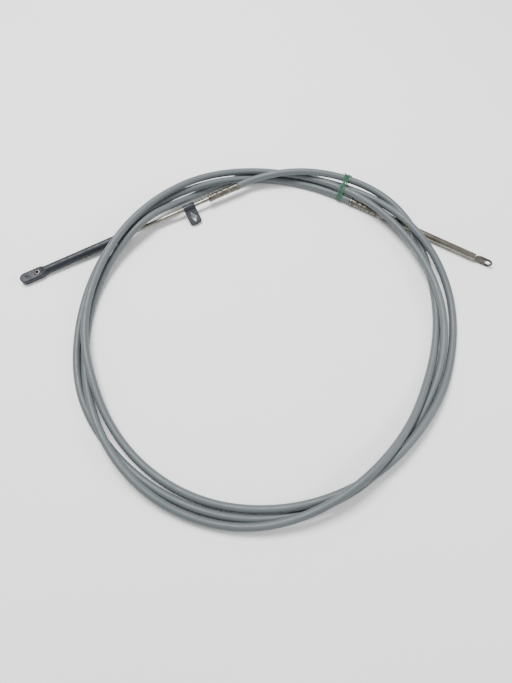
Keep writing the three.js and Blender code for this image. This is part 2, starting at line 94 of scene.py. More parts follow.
# Anchor clip
CLIP_PLACE = 64.7
CLIP_WIDTH = 14
CLIP_ABOVE = 4
CLIP_BELOW = 21.6
CLIP_THICKNESS = 3
CLIP_BARREL = 4
CLIP_BORE = 2.75
CLIP_BULGE = 1.6
CLIP_CORNER = 1.6
CLIP_DROOP = 22
KITE_CENTRE = 12
KITE_HALF = (4, 6.6)

# Control end
CONTROL_HEADING = -30.5
CONTROL_HUB_LENGTH = 35.5
NECK_RADIUS = 2.1
BALL_PLACE = 43.7
BALL_RADIUS = 3.2
SOCKET_RADIUS = 4.7
SOCKET_CAVITY = 3.55
SOCKET_MOUTH = 2.95
SOCKET_END = 65.1
SOCKET_GRIP = 10
GUIDE_TUBE_RADIUS = 3.92
GUIDE_TUBE_BORE = 2.8
GUIDE_TUBE_END = 157.5
BLEED_HOLE_PLACE = 153
BLEED_HOLE_RADIUS = 1
BLEED_HOLE_TURN = 22
ROD_RADIUS = 2.4
ROD_START = 65.5
EYE_PLACE = 172.3
EYE_HOLE_RADIUS = 3.1
EYE_TIP_RADIUS = 5.3
EYE_HALF_WIDTH = 4.65
EYE_THICKNESS = 2.8
EYE_FLAT = 163.5
EYE_POWER = 5  # how square its section is
EYE_ROLL = 80
THROUGH = 20  # length of a cutter that goes right through an eye

# Crimped hubs
HUB_RADIUS = 4.1
HUB_COLLAR_RADIUS = 4.4
HUB_COLLAR = 3.2
HUB_SEAT = 12
HUB_RINGS = 3
HUB_RING_DEPTH = 0.35
HUB_TEETH = 6
HUB_TOOTH_DEPTH = 0.14
FITTING_SIDES = 72
FACE_GAP = 0.3
BORE_CLEARANCE = 0.25

# Tie: twine of two plies, wound round the four strands in two bands
TIE_ANGLE = 27.3
TIE_PITCH = 3.4
TIE_CLEARANCE = 0.75
PLY_RADIUS = 0.31
PLY_TWIST = 3.4
STRAND_SPREAD = 0.85
TAIL_LENGTH = 11
LOOP_POINTS = 96
WAVE = 0.25  # of a twine's strand to each side, twice in a turn

# Floor
FLOOR_HALF = 3.0  # metres


def camera():
    data = bpy.data.cameras.new("camera")
    data.sensor_fit = "HORIZONTAL"
    data.sensor_width = SENSOR_WIDTH
    data.lens = SENSOR_WIDTH * FOCAL_PIXELS / PHOTO_WIDTH
    place = bpy.data.objects.new("camera", data)
    place.location = Vector(CAMERA_PLACE) * MM
    place.rotation_euler = (math.radians(CAMERA_TILT), 0, 0)
    bpy.context.collection.objects.link(place)
    bpy.context.scene.camera = place


# Materials

class Nodes:
    """A material's node tree, with short calls for what the materials below use."""

    def __init__(self, name, color, roughness, metallic=0.0):
        self.material = bpy.data.materials.new(name)
        self.material.use_nodes = True
        self.tree = self.material.node_tree
        self.shader = self.tree.nodes["Principled BSDF"]
        self.shader.inputs["Base Color"].default_value = (*color, 1)
        self.shader.inputs["Roughness"].default_value = roughness
        self.shader.inputs["Metallic"].default_value = metallic
        self.coordinates = self.tree.nodes.new("ShaderNodeTexCoord")
        self.bump_normal = None

    def link(self, source, target):
        self.tree.links.new(source, target)

    def noise(self, scale, stretch=(1, 1, 1), space="Object", detail=3.0, distortion=0.0):
        mapping = self.tree.nodes.new("ShaderNodeMapping")
        mapping.inputs["Scale"].default_value = stretch
        texture = self.tree.nodes.new("ShaderNodeTexNoise")
        texture.inputs["Scale"].default_value = scale
        texture.inputs["Detail"].default_value = detail
        texture.inputs["Distortion"].default_value = distortion
        self.link(self.coordinates.outputs[space], mapping.inputs["Vector"])
        self.link(mapping.outputs["Vector"], texture.inputs["Vector"])
        return texture.outputs["Fac"]

    def spread(self, value, low, high, start=0.35, end=0.65):
        node = self.tree.nodes.new("ShaderNodeMapRange")
        for socket, number in zip(("From Min", "From Max", "To Min", "To Max"), (start, end, low, high)):
            node.inputs[socket].default_value = number
        self.link(value, node.inputs["Value"])
        return node.outputs["Result"]

    def mix(self, factor, first, second):
        node = self.tree.nodes.new("ShaderNodeMix")
        node.data_type = "RGBA"
        for socket, color in ((node.inputs[6], first), (node.inputs[7], second)):
            if isinstance(color, tuple):
                socket.default_value = (*color, 1)
            else:
                self.link(color, socket)
        self.link(factor, node.inputs["Factor"])
        return node.outputs[2]

    def color(self, output):
        self.link(output, self.shader.inputs["Base Color"])

    def roughness(self, output):
        self.link(output, self.shader.inputs["Roughness"])

    def bump(self, height, distance, strength=1.0):
        node = self.tree.nodes.new("ShaderNodeBump")
        node.inputs["Distance"].default_value = distance * MM
        node.inputs["Strength"].default_value = strength
        self.link(height, node.inputs["Height"])
        if self.bump_normal:
            self.link(self.bump_normal, node.inputs["Normal"])
        self.bump_normal = node.outputs["Normal"]
        self.link(self.bump_normal, self.shader.inputs["Normal"])


def jacket_material():
    nodes = Nodes("jacket", (0.085, 0.1, 0.106), 0.36)
    patches = nodes.spread(nodes.noise(9), 0, 1)
    streaks = nodes.spread(nodes.noise(1, (0.05, 60, 1), "UV", 4), 0, 1)
    scuffs = nodes.spread(nodes.noise(900, detail=5), 0, 1, 0.62, 0.72)
    base = nodes.mix(patches, (0.076, 0.090, 0.096), (0.094, 0.110, 0.116))
    drawn = nodes.mix(nodes.spread(streaks, 0, 0.35, 0, 1), base, (0.118, 0.134, 0.140))
    nodes.color(nodes.mix(nodes.spread(scuffs, 0, 0.3, 0, 1), drawn, (0.17, 0.185, 0.19)))
    nodes.roughness(nodes.spread(nodes.noise(160, detail=4), 0.42, 0.54))
    nodes.bump(nodes.noise(1, (0.03, 40, 1), "UV", 3), 0.05, 0.6)
    nodes.bump(nodes.noise(420, detail=2), 0.03, 0.5)
    nodes.shader.inputs["Specular IOR Level"].default_value = 0.42
    return nodes.material


def steel_material():
    """Drawn tube, with fine lines along it."""
    bright, dark = (0.3, 0.285, 0.245), (0.12, 0.112, 0.096)
    roughness, stretch = 0.26, (0.05, 14, 1)
    nodes = Nodes("drawn_steel", bright, roughness, 1.0)
    drawn = nodes.spread(nodes.noise(1, stretch, "UV", 6), 0, 1)
    stains = nodes.spread(nodes.noise(130, detail=4, distortion=0.6), 0, 1, 0.4, 0.7)
    base = nodes.mix(nodes.spread(drawn, 0, 0.6, 0, 1), bright, dark)
    nodes.color(nodes.mix(nodes.spread(stains, 0, 0.5, 0, 1), base, dark))
    nodes.roughness(nodes.spread(drawn, roughness - 0.08, roughness + 0.14, 0, 1))
    nodes.bump(nodes.noise(1, stretch, "UV", 6), 0.03, 0.6)
    return nodes.material


def pressed_material():
    """Darker steel with an even grain, of the rod's eye and the bush."""
    nodes = Nodes("pressed_steel", (0.3, 0.29, 0.26), 0.42, 1.0)
    grain = nodes.noise(700, detail=5)
    stains = nodes.spread(nodes.noise(150, detail=3, distortion=0.8), 0, 1, 0.35, 0.7)
    nodes.color(nodes.mix(stains, (0.13, 0.124, 0.11), (0.06, 0.057, 0.05)))
    nodes.roughness(nodes.spread(grain, 0.34, 0.52))
    nodes.bump(grain, 0.06, 0.6)
    return nodes.material


def crimp_material():
    """Plated steel with the marks and grime of crimping, of the sleeves and the socket."""
    nodes = Nodes("crimped_steel", (0.4, 0.38, 0.33), 0.4, 1.0)
    marks = nodes.spread(nodes.noise(1, (1.1, 5, 1), "UV", 4), 0, 1)
    grime = nodes.spread(nodes.noise(320, detail=4, distortion=0.5), 0, 1, 0.45, 0.65)
    base = nodes.mix(marks, (0.22, 0.208, 0.178), (0.075, 0.07, 0.06))
    nodes.color(nodes.mix(nodes.spread(grime, 0, 0.7, 0, 1), base, (0.055, 0.052, 0.045)))
    nodes.roughness(nodes.spread(marks, 0.3, 0.5, 0, 1))
    nodes.bump(nodes.noise(1, (1.6, 7, 1), "UV", 3), 0.12, 0.6)
    return nodes.material


def black_material():
    nodes = Nodes("moulded_black", (0.018, 0.023, 0.031), 0.5)
    cloud = nodes.spread(nodes.noise(60, detail=3), 0, 1)
    nodes.color(nodes.mix(cloud, (0.007, 0.010, 0.016), (0.014, 0.018, 0.026)))
    nodes.roughness(nodes.spread(nodes.noise(240, detail=4), 0.42, 0.58))
    nodes.bump(nodes.noise(2600, detail=2), 0.02, 0.5)
    nodes.bump(nodes.noise(140, detail=2), 0.05, 0.3)
    nodes.shader.inputs["Specular IOR Level"].default_value = 0.4
    return nodes.material


def twine_material():
    nodes = Nodes("green_twine", (0.03, 0.16, 0.08), 0.75)
    fibres = nodes.noise(1, (3, 30, 1), "UV", 4)
    fade = nodes.spread(nodes.noise(500, detail=3), 0, 1)
    base = nodes.mix(fade, (0.008, 0.065, 0.03), (0.028, 0.15, 0.08))
    nodes.color(nodes.mix(nodes.spread(fibres, 0, 0.5), base, (0.06, 0.25, 0.14)))
    nodes.bump(fibres, 0.12, 0.8)
    nodes.shader.inputs["Sheen Weight"].default_value = 0.3
    return nodes.material


def floor_material():
    nodes = Nodes("floor", (0.86, 0.86, 0.86), 0.7)
    nodes.color(nodes.mix(nodes.spread(nodes.noise(3), 0, 1), (0.93, 0.93, 0.93), (0.95, 0.95, 0.95)))
    return nodes.material


# Meshes

def finish_mesh(name, mesh, material, sharp=35):
    mesh.materials.clear()
    mesh.materials.append(material)
    for face in mesh.polygons:
        face.use_smooth = True
    mesh.set_sharp_from_angle(angle=math.radians(sharp))
    piece = bpy.data.objects.new(name, mesh)
    bpy.context.collection.objects.link(piece)
    return piece


def ring_mesh(name, rings, closed, uvs):
    """A skin over rings of points, each a list of equal length, or of one point for a pole."""
    shape = bmesh.new()
    uv_layer = shape.loops.layers.uv.new("UVMap")
    rows = [[shape.verts.new(Vector(p) * MM) for p in ring] for ring in rings]
    count = max(len(row) for row in rows)
    pairs = list(zip(range(len(rows)), range(1, len(rows))))
    if closed:
        pairs.append((len(rows) - 1, 0))
    for a, b in pairs:
        for k in range(count):
            n = (k + 1) % count
            corners = [(a, k, k), (b, k, k), (b, n, k + 1), (a, n, k + 1)]
            verts, places = [], []
            for row, index, turn in corners:
                vert = rows[row][index if len(rows[row]) > 1 else 0]
                if vert not in verts:
                    verts.append(vert)
                    places.append((uvs[row], turn / count))
            if len(verts) < 3:
                continue
            face = shape.faces.new(verts)
            for loop, place in zip(face.loops, places):
                loop[uv_layer].uv = place
    bmesh.ops.recalc_face_normals(shape, faces=shape.faces)
    mesh = bpy.data.meshes.new(name)
    shape.to_mesh(mesh)
    shape.free()
    return mesh


def turned_mesh(name, corners, sides=64, teeth=None):
    """A turned piece on the X axis, from (x, radius) corners from small x to large x, and back in a bore."""
    rings = []
    for x, radius in corners:
        if radius == 0:
            rings.append([(x, 0, 0)])
            continue
        ring = []
        for k in range(sides):
            angle = 2 * math.pi * k / sides
            r = radius + (teeth(x, angle, radius) if teeth else 0)
            ring.append((x, r * math.cos(angle), r * math.sin(angle)))
        rings.append(ring)
    closed = corners[0][1] > 0 and corners[-1][1] > 0
    return ring_mesh(name, rings, closed, [x for x, _ in corners])


def section(x, half_width, half_thickness, power, sides):
    """A superellipse across the X axis: round at power 2, squarer above."""
    ring = []
    for k in range(sides):
        angle = 2 * math.pi * k / sides
        c, s = math.cos(angle), math.sin(angle)
        size = (abs(c) ** power + abs(s) ** power) ** (-1 / power)
        ring.append((x, half_width * c * size, half_thickness * s * size))
    return ring


def prism_mesh(name, outline, low, high):
    """A straight solid along Z over an outline in the XY plane."""
    shape = bmesh.new()
    bottom = [shape.verts.new(Vector((x, y, low)) * MM) for x, y in outline]
    top = [shape.verts.new(Vector((x, y, high)) * MM) for x, y in outline]
    shape.faces.new(bottom)
    shape.faces.new(top)
    for k in range(len(outline)):
        n = (k + 1) % len(outline)
        shape.faces.new((bottom[k], bottom[n], top[n], top[k]))
    bmesh.ops.recalc_face_normals(shape, faces=shape.faces)
    mesh = bpy.data.meshes.new(name)
    shape.to_mesh(mesh)
    shape.free()
    return mesh


def moved(mesh, matrix):
    mesh.transform(matrix)
    return mesh


def millimetres(x, y, z):
    return Matrix.Translation(Vector((x, y, z)) * MM)


def turn(degrees, axis):
    return Matrix.Rotation(math.radians(degrees), 4, axis)


def drill(radius, depth, sides=48):
    """A cutter along Z, centred on the origin."""
    outline = [(radius * math.cos(2 * math.pi * k / sides), radius * math.sin(2 * math.pi * k / sides))
               for k in range(sides)]
    return prism_mesh("drill", outline, -depth / 2, depth / 2)


def carved(name, mesh, steps, edge=0.0, segments=2, angle=50):
    """The mesh with others joined to it or cut from it, and its edges rounded."""
    body = bpy.data.objects.new(name, mesh)
    bpy.context.collection.objects.link(body)
    tools = []
    for operation, tool_mesh in steps:
        tool = bpy.data.objects.new("tool", tool_mesh)
        bpy.context.collection.objects.link(tool)
        tools.append(tool)
        boolean = body.modifiers.new("boolean", "BOOLEAN")
        boolean.operation = operation
        boolean.solver = "EXACT"
        boolean.object = tool
    if edge:
        bevel = body.modifiers.new("bevel", "BEVEL")
        bevel.width = edge * MM
        bevel.segments = segments
        bevel.limit_method = "ANGLE"
        bevel.angle_limit = math.radians(angle)
        bevel.use_clamp_overlap = True
    bpy.context.view_layer.update()
    result = bpy.data.meshes.new_from_object(body.evaluated_get(bpy.context.evaluated_depsgraph_get()))
    for scrap in [body, *tools]:
        bpy.data.objects.remove(scrap)
    result.name = name
    return result


# Route

def rings_along(node, start):
    """The points of a tube's rings, from the ring nearest to start and on from each ring to the next."""
    shape = bmesh.new()
    shape.from_mesh(node.data)
    bmesh.ops.remove_doubles(shape, verts=shape.verts, dist=RING_WELD * MM)
    shape.verts.index_update()
    ring = [v for v in shape.verts if (v.co - start).length < RING_REACH * MM]
    seen = set()
    rings = []
    while ring:
        seen.update(ring)
        rings.append([v.co / MM for v in ring])
        beyond = {e.other_vert(v) for v in ring for e in v.link_edges} - seen
        ring = sorted(beyond, key=lambda v: v.index)
    shape.free()
    return rings


def conduit_line():
    """The middle of the CAD conduit, ring by ring, from the engine's mouth to the control's."""
    rings = rings_along(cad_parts["conduit"], Vector(ENGINE_MOUTH) * MM)
    return [sum(ring, Vector()) / len(ring) for ring in rings]


def crossing_of(line, angle):
    """The places where the line crosses the slice at a plan angle, as (distance, height)."""
    outward = Vector((math.sin(angle), math.cos(angle), 0))
    along = Vector((math.cos(angle), -math.sin(angle), 0))
    centre = Vector((*COIL_CENTRE, 0))
    places = []
    for a, b in zip(line, line[1:]):
        before, after = (a - centre).dot(along), (b - centre).dot(along)
        if before < 0 <= after and (a - centre).dot(outward) > 0:
            point = a.lerp(b, before / (before - after))
            places.append(((point - centre).dot(outward), point.z))
    return places


def tube_rings(points, radius, sides):
    """Rings round a line of points, carried along it without twisting."""
    rings = []
    across = None
    for k, point in enumerate(points):
        ahead = points[min(k + 1, len(points) - 1)] - points[max(k - 1, 0)]
        ahead.normalize()
        if across is None:
            across = ahead.cross(Vector((0, 0, 1)))
            if across.length < 0.1:
                across = ahead.cross(Vector((1, 0, 0)))
        across = (across - ahead * across.dot(ahead)).normalized()
        up = ahead.cross(across)
        ring = []
        for side in range(sides):
            angle = 2 * math.pi * side / sides
            ring.append(point + radius * (across * math.cos(angle) + up * math.sin(angle)))
        rings.append(ring)
    return rings


def tube_mesh(name, points, radius, sides):
    """A round tube along the points, with flat ends."""
    rings = tube_rings(points, radius, sides)
    lengths = [0.0]
    for a, b in zip(points, points[1:]):
        lengths.append(lengths[-1] + (b - a).length)
    rings = [[points[0]], *rings, [points[-1]]]
    return ring_mesh(name, rings, False, [lengths[0], *lengths, lengths[-1]])


def conduit(material, line):
    points = smooth_line(line, STEPS_PER_RING)
    piece = finish_mesh("jacket", tube_mesh("jacket", points, CONDUIT_RADIUS, CONDUIT_SIDES), material, 60)
    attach(piece, "coil")
    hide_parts("conduit")
    length = sum((b - a).length for a, b in zip(points, points[1:]))
    return piece, [tuple(p * MM) for p in points], length * MM


# Ends

def end_matrix(mouth, heading, drop):
    turned = Euler((0, math.radians(drop), math.radians(heading)), "XYZ").to_matrix().to_4x4()
    return Matrix.Translation(Vector(mouth) * MM) @ turned


ENGINE = end_matrix(ENGINE_MOUTH, ENGINE_HEADING, ENGINE_DROP)
CONTROL = end_matrix(CONTROL_MOUTH, CONTROL_HEADING, 0)


def place(name, mesh, material, matrix, body, node, slot):
    piece = finish_mesh(name, moved(mesh, matrix), material)
    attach(piece, body)
    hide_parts(node)
    return piece


def hub_outline(start, end):
    """Two collars, with a band of crimp rings between them."""
    first, last = start + HUB_COLLAR, end - HUB_COLLAR
    edge, chamfer = 0.5, 0.15
    outline = [(start, HUB_COLLAR_RADIUS - edge), (start + chamfer, HUB_COLLAR_RADIUS - chamfer),
               (start + edge, HUB_COLLAR_RADIUS), (first - edge, HUB_COLLAR_RADIUS),
               (first - chamfer, HUB_COLLAR_RADIUS - 0.1), (first, HUB_RADIUS)]
    pitch = (last - first) / (HUB_RINGS + 1)
    steps = 10
    for ring in range(1, HUB_RINGS + 1):
        middle = first + pitch * ring
        for k in range(steps + 1):
            along = (k / steps - 0.5)
            dip = HUB_RING_DEPTH * math.cos(math.pi * along) ** 2
            outline.append((middle + along * pitch / 2, HUB_RADIUS - dip))
    outline += [(last, HUB_RADIUS), (last + chamfer, HUB_COLLAR_RADIUS - 0.1),
                (last + edge, HUB_COLLAR_RADIUS), (end - edge, HUB_COLLAR_RADIUS),
                (end - chamfer, HUB_COLLAR_RADIUS - chamfer), (end, HUB_COLLAR_RADIUS - edge)]
    return outline


def hub_teeth(start, end):
    """Shallow flats left by the crimping jaws, between the collars only."""
    def depth(x, angle, radius):
        if radius < HUB_RADIUS - HUB_RING_DEPTH - 0.01 or not start + HUB_COLLAR < x < end - HUB_COLLAR:
            return 0
        return -HUB_TOOTH_DEPTH * math.cos(HUB_TEETH * angle / 2) ** 4
    return depth


def engine_hub(material):
    bore = ENGINE_TUBE_RADIUS + BORE_CLEARANCE
    start, end = FACE_GAP, ENGINE_HUB_LENGTH
    corners = [(start, 0), *hub_outline(start, end), (end, bore + 0.2), (end - 0.2, bore),
               (end - HUB_SEAT, bore), (end - HUB_SEAT, 0)]
    mesh = turned_mesh("engine_sleeve", corners, FITTING_SIDES, hub_teeth(start, end))
    return place("engine_sleeve", mesh, material, ENGINE, "coil", "engine_hub", "crimped_steel")


def engine_tube(material):
    start = ENGINE_HUB_LENGTH - HUB_SEAT + FACE_GAP
    end = ENGINE_TUBE_END
    corners = [(start, ENGINE_TUBE_BORE), (start, ENGINE_TUBE_RADIUS), (end - 0.3, ENGINE_TUBE_RADIUS),
               (end, ENGINE_TUBE_RADIUS - 0.3), (end, ENGINE_TUBE_BORE)]
    mesh = turned_mesh("thin_tube", corners, 48)
    return place("thin_tube", mesh, material, ENGINE, "coil", "engine_tube", "steel")


def loft(name, stations, sides):
    rings = [section(*station, sides) for station in stations]
    first, last = stations[0][0], stations[-1][0]
    rings = [[(first, 0, 0)], *rings, [(last, 0, 0)]]
    return ring_mesh(name, rings, False, [first, *[s[0] for s in stations], last])


def guide_stations():
    stations = [(GUIDE_START, GUIDE_RADIUS - 0.6, GUIDE_RADIUS - 0.6, 2),
                (GUIDE_START + 0.2, GUIDE_RADIUS - 0.22, GUIDE_RADIUS - 0.22, 2),
                (GUIDE_START + 0.6, GUIDE_RADIUS, GUIDE_RADIUS, 2)]
    for x in GUIDE_STRAIGHT:
        stations.append((x, GUIDE_RADIUS, GUIDE_RADIUS, 2))
    steps = 8
    taper_start, taper_end = PADDLE_TAPER
    for k in range(steps + 1):
        f = k / steps
        ease = f * f * (3 - 2 * f)
        x = PADDLE_SHOULDER + taper_start + (taper_end - taper_start) * f
        half_width = GUIDE_RADIUS + (PADDLE_HALF_WIDTH - GUIDE_RADIUS) * ease
        half_thickness = GUIDE_RADIUS + (PADDLE_HALF_THICKNESS - GUIDE_RADIUS) * ease
        stations.append((x, half_width, half_thickness, 2 + (PADDLE_POWER - 2) * ease))
    centre = PADDLE_TIP - PADDLE_HALF_WIDTH
    stations.append((centre - 6, PADDLE_HALF_WIDTH, PADDLE_HALF_THICKNESS, PADDLE_POWER))
    for k in range(13):
        angle = math.pi / 2 * min(k / 12, 0.985)
        edge = 1 - 0.22 * (k / 12) ** 6
        stations.append((centre + PADDLE_HALF_WIDTH * math.sin(angle),
                         PADDLE_HALF_WIDTH * math.cos(angle), PADDLE_HALF_THICKNESS * edge,
                         PADDLE_POWER))
    return stations


def end_guide(material):
    blank = loft("end_slider", guide_stations(), 96)
    bore_length = GUIDE_BORE_END - GUIDE_START + 2
    bore = moved(drill(GUIDE_BORE, bore_length),
                 millimetres(GUIDE_BORE_END - bore_length / 2, 0, 0) @ turn(90, "Y"))
    eye = moved(drill(BUSH_RADIUS + BORE_CLEARANCE, THROUGH), millimetres(BUSH_PLACE, 0, 0))
    bowl = moved(drill(1, 2 * DIMPLE_DEPTH),
                 millimetres(DIMPLE_PLACE, 0, PADDLE_HALF_THICKNESS) @
                 Matrix.Diagonal((DIMPLE_HALF[0], DIMPLE_HALF[1], 1, 1)))
    cuts = [("DIFFERENCE", bore), ("DIFFERENCE", eye), ("DIFFERENCE", bowl)]
    mesh = carved("end_slider", blank, cuts, 0.18, 2, 60)
    return place("end_slider", mesh, material, ENGINE @ turn(-PADDLE_ROLL, "X"),
                 "engine_slider", "end_guide", "black_plastic")


def guide_bush(material):
    half = PADDLE_HALF_THICKNESS + BUSH_PROUD
    corners = [(-half, BUSH_BORE + 0.35), (-half, BUSH_RADIUS - 0.4), (-half + 0.12, BUSH_RADIUS - 0.12),
               (-half + 0.4, BUSH_RADIUS), (half - 0.4, BUSH_RADIUS), (half - 0.12, BUSH_RADIUS - 0.12),
               (half, BUSH_RADIUS - 0.4), (half, BUSH_BORE + 0.35), (half - 0.35, BUSH_BORE),
               (-half + 0.35, BUSH_BORE)]
    mesh = moved(turned_mesh("eye_bush", corners, 48), turn(-90, "Y"))
    return place("eye_bush", mesh, material,
                 ENGINE @ turn(-PADDLE_ROLL, "X") @ millimetres(BUSH_PLACE, 0, 0),
                 "engine_slider", "guide_bush", "dark_steel")


def engine_core(material):
    start, end = ENGINE_ROD_START, GUIDE_BORE_END - FACE_GAP
    radius, edge = ENGINE_ROD_RADIUS, 0.3
    corners = [(start, 0), (start, radius - edge), (start + edge, radius),
               (end - edge, radius), (end, radius - edge), (end, 0)]
    return place("inner_rod", turned_mesh("inner_rod", corners, 24), material, ENGINE,
                 "engine_slider", "engine_core", "steel")


def quadratic(start, control, end, steps=8):
    points = []
    for k in range(1, steps + 1):
        f = k / steps
        g = 1 - f
        points.append(tuple(g * g * a + 2 * f * g * b + f * f * c for a, b, c in zip(start, control, end)))
    return points


def clip_outline():
    near, far = -CLIP_ABOVE, CLIP_BELOW - CLIP_BULGE
    left, right, c = -CLIP_WIDTH / 2, CLIP_WIDTH / 2, CLIP_CORNER
    outline = [(left + c, near), (right - c, near)]
    outline += quadratic((right - c, near), (right, near), (right, near + c))
    outline.append((right, far - c))
    outline += quadratic((right, far - c), (right, far), (right - c, far + c / 3))
    outline += quadratic((right - c, far + c / 3), (0, CLIP_BELOW + CLIP_BULGE - c / 3),
                         (left + c, far + c / 3), 16)
    outline += quadratic((left + c, far + c / 3), (left, far), (left, far - c))
    outline.append((left, near + c))
    outline += quadratic((left, near + c), (left, near), (left + c, near))[:-1]
    return outline


def anchor_clip(material):
    leaf = prism_mesh("bracket_clip", clip_outline(), -CLIP_THICKNESS / 2, CLIP_THICKNESS / 2)
    barrel = moved(drill(CLIP_BARREL, CLIP_WIDTH), turn(90, "Y"))
    bore = moved(drill(CLIP_BORE, 2 * CLIP_WIDTH), turn(90, "Y"))
    kite = prism_mesh("kite", [(0, KITE_CENTRE - KITE_HALF[1]), (KITE_HALF[0], KITE_CENTRE),
                               (0, KITE_CENTRE + KITE_HALF[1]), (-KITE_HALF[0], KITE_CENTRE)], -9, 9)
    steps = [("UNION", barrel), ("DIFFERENCE", bore), ("DIFFERENCE", kite)]
    mesh = carved("bracket_clip", leaf, steps, 0.3, 3)
    return place("bracket_clip", mesh, material,
                 ENGINE @ millimetres(CLIP_PLACE, 0, 0) @ turn(-CLIP_DROOP, "X"),
                 "anchor", "anchor_clip", "black_plastic")


def sphere_corners(radius, start, end, count):
    corners = []
    for k in range(count + 1):
        angle = start + (end - start) * k / count
        corners.append((BALL_PLACE - radius * math.cos(angle), radius * math.sin(angle)))
    return corners


def control_hub(material):
    start, end = FACE_GAP, CONTROL_HUB_LENGTH
    ball = sphere_corners(BALL_RADIUS, math.asin(NECK_RADIUS / BALL_RADIUS), math.pi, 20)
    ball[-1] = (ball[-1][0], 0)
    corners = [(start, 0), *hub_outline(start, end), (end, NECK_RADIUS + 0.3),
               (end + 0.3, NECK_RADIUS), *ball]
    mesh = turned_mesh("control_sleeve", corners, FITTING_SIDES, hub_teeth(start, end))
    return place("control_sleeve", mesh, material, CONTROL, "coil", "control_hub", "crimped_steel")


def swivel_socket(material):
    bore = GUIDE_TUBE_RADIUS + BORE_CLEARANCE
    mouth = math.asin(SOCKET_MOUTH / SOCKET_CAVITY)
    cavity = sphere_corners(SOCKET_CAVITY, math.pi - math.asin(GUIDE_TUBE_BORE / SOCKET_CAVITY), mouth, 14)
    front = BALL_PLACE - SOCKET_CAVITY * math.cos(mouth) - 0.2
    corners = [(front, SOCKET_MOUTH), (front, SOCKET_RADIUS - 1.2), (front + 0.3, SOCKET_RADIUS - 0.55),
               (front + 1.2, SOCKET_RADIUS), (SOCKET_END - 9, SOCKET_RADIUS),
               (SOCKET_END - 8.6, SOCKET_RADIUS - 0.3), (SOCKET_END - 7.6, SOCKET_RADIUS - 0.3),
               (SOCKET_END - 7.2, SOCKET_RADIUS), (SOCKET_END - 0.8, SOCKET_RADIUS),
               (SOCKET_END - 0.2, SOCKET_RADIUS - 0.25), (SOCKET_END, bore + 0.1), (SOCKET_END, bore),
               (SOCKET_END - SOCKET_GRIP, bore), (SOCKET_END - SOCKET_GRIP, GUIDE_TUBE_BORE), *cavity[:-1]]
    mesh = turned_mesh("ball_socket", corners, FITTING_SIDES)
    return place("ball_socket", mesh, material, CONTROL, "control_tube", "swivel_socket", "crimped_steel")


def guide_tube(material):
    start, end = SOCKET_END - SOCKET_GRIP + FACE_GAP, GUIDE_TUBE_END
    corners = [(start, GUIDE_TUBE_BORE), (start, GUIDE_TUBE_RADIUS), (end - 0.9, GUIDE_TUBE_RADIUS),
               (end - 0.35, GUIDE_TUBE_RADIUS - 0.15), (end, GUIDE_TUBE_RADIUS - 0.55),
               (end, GUIDE_TUBE_BORE + 0.2), (end - 0.2, GUIDE_TUBE_BORE)]
    blank = turned_mesh("thick_tube", corners, FITTING_SIDES)
    hole = moved(drill(BLEED_HOLE_RADIUS, 2 * GUIDE_TUBE_RADIUS, 32),
                 millimetres(BLEED_HOLE_PLACE, 0, 0) @ turn(-BLEED_HOLE_TURN, "X") @
                 millimetres(0, 0, GUIDE_TUBE_RADIUS))
    mesh = carved("thick_tube", blank, [("DIFFERENCE", hole)])
    return place("thick_tube", mesh, material, CONTROL, "control_tube", "guide_tube", "steel")


def rod_stations():
    half = EYE_THICKNESS / 2
    stations = [(ROD_START, ROD_RADIUS - 0.4, ROD_RADIUS - 0.4, 2)]
    for x in (ROD_START + 0.4, GUIDE_TUBE_END - 4, GUIDE_TUBE_END + 0.5):
        stations.append((x, ROD_RADIUS, ROD_RADIUS, 2))
    steps = 8
    for k in range(1, steps + 1):
        f = k / steps
        ease = math.sin(math.pi / 2 * f)
        x = GUIDE_TUBE_END + 0.6 + (EYE_FLAT - GUIDE_TUBE_END - 0.6) * f
        stations.append((x, ROD_RADIUS + (EYE_HALF_WIDTH - ROD_RADIUS) * ease,
                         ROD_RADIUS + (half - ROD_RADIUS) * f, 2 + (EYE_POWER - 2) * f))
    for k in range(15):
        angle = math.pi / 2 * min(k / 14, 0.99)
        edge = 1 - 0.25 * (k / 14) ** 6
        stations.append((EYE_PLACE + EYE_TIP_RADIUS * math.sin(angle), EYE_HALF_WIDTH * math.cos(angle),
                         half * edge, EYE_POWER))
    return stations


def control_rod(material):
    blank = loft("control_eye", rod_stations(), 80)
    hole = moved(drill(EYE_HOLE_RADIUS, THROUGH), millimetres(EYE_PLACE, 0, 0))
    mesh = carved("control_eye", blank, [("DIFFERENCE", hole)], 0.22, 2, 60)
    return place("control_eye", mesh, material, CONTROL @ turn(EYE_ROLL, "X"),
                 "control_slider", "control_rod", "dark_steel")


# Tie

def convex_hull(points):
    def half(ordered):
        hull = []
        for p in ordered:
            while len(hull) > 1 and ((hull[-1][0] - hull[-2][0]) * (p[1] - hull[-2][1]) -
                                     (hull[-1][1] - hull[-2][1]) * (p[0] - hull[-2][0])) <= 0:
                hull.pop()
            hull.append(p)
        return hull[:-1]
    ordered = sorted(points)
    return half(ordered) + half(ordered[::-1])


def even_loop(outline, count):
    """Equally spaced points round a closed outline, from its highest one."""
    top = max(range(len(outline)), key=lambda k: outline[k][1])
    corners = [Vector(outline[(top + k) % len(outline)]) for k in range(len(outline) + 1)]
    lengths = [0.0]
    for a, b in zip(corners, corners[1:]):
        lengths.append(lengths[-1] + (b - a).length)
    loop = []
    side = 0
    for k in range(count):
        want = lengths[-1] * k / count
        while lengths[side + 1] < want:
            side += 1
        f = (want - lengths[side]) / (lengths[side + 1] - lengths[side])
        loop.append(corners[side].lerp(corners[side + 1], f))
    return loop


